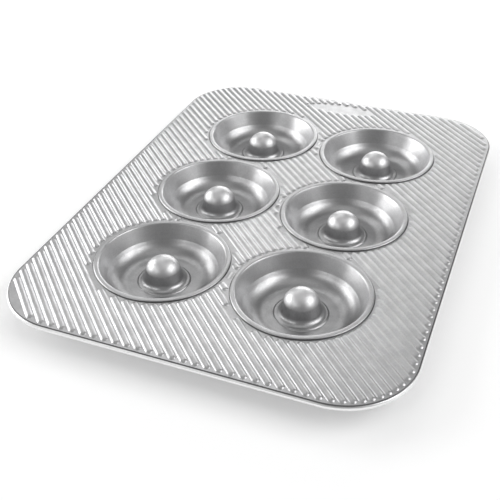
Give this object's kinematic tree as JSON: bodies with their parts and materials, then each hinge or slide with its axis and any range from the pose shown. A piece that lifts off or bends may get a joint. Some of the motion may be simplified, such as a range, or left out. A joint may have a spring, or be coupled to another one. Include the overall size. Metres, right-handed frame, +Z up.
{
  "type": "doughnut pan",
  "caption": "Flat metal baking pan with ring-shaped wells for doughnuts, a flange of fine slanting ribs and a rolled edge.",
  "frame": {"origin": "on the table, under the middle of the pan", "axes": "+Z up, +Y along the long side towards the smooth patch, +X along the short side"},
  "size_m": [0.283, 0.39, 0.0206],
  "materials": {
    "pan": "pale grey satin metal, with soft broad highlights"
  },
  "bodies": {
    "root": {"pan": "pan"}
  },
  "joints": []
}
